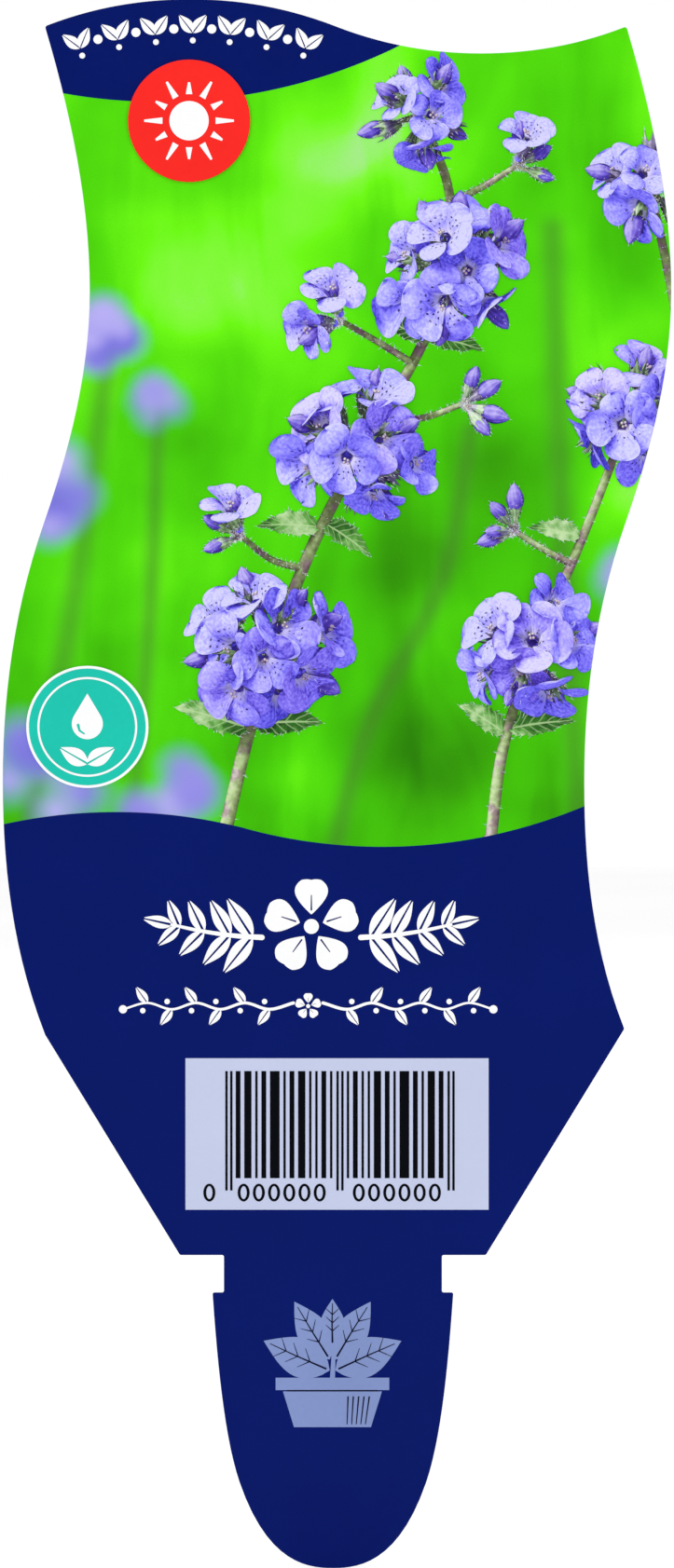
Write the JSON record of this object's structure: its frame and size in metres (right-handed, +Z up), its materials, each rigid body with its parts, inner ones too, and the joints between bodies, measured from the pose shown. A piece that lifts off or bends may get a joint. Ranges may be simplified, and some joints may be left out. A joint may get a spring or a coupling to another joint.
{
  "type": "plant label",
  "caption": "Stick-in plastic plant label: a tall wavy-sided sheet with a printed picture, shoulders that rest on a pot rim and a barbed tongue below.",
  "frame": {"origin": "front face of the sheet, in the middle of the neck, at the height of the shoulders that rest on the pot's rim", "axes": "+Z up from the tongue to the printed body, +X to the right as the printed front is read, -Y out of the printed front face"},
  "size_m": [0.0729, 0.0005, 0.1714],
  "materials": {
    "white_polypropylene": "silky white polypropylene film, offset printed and varnished on its front"
  },
  "bodies": {
    "root": {"label_sheet": "white_polypropylene"}
  },
  "joints": []
}
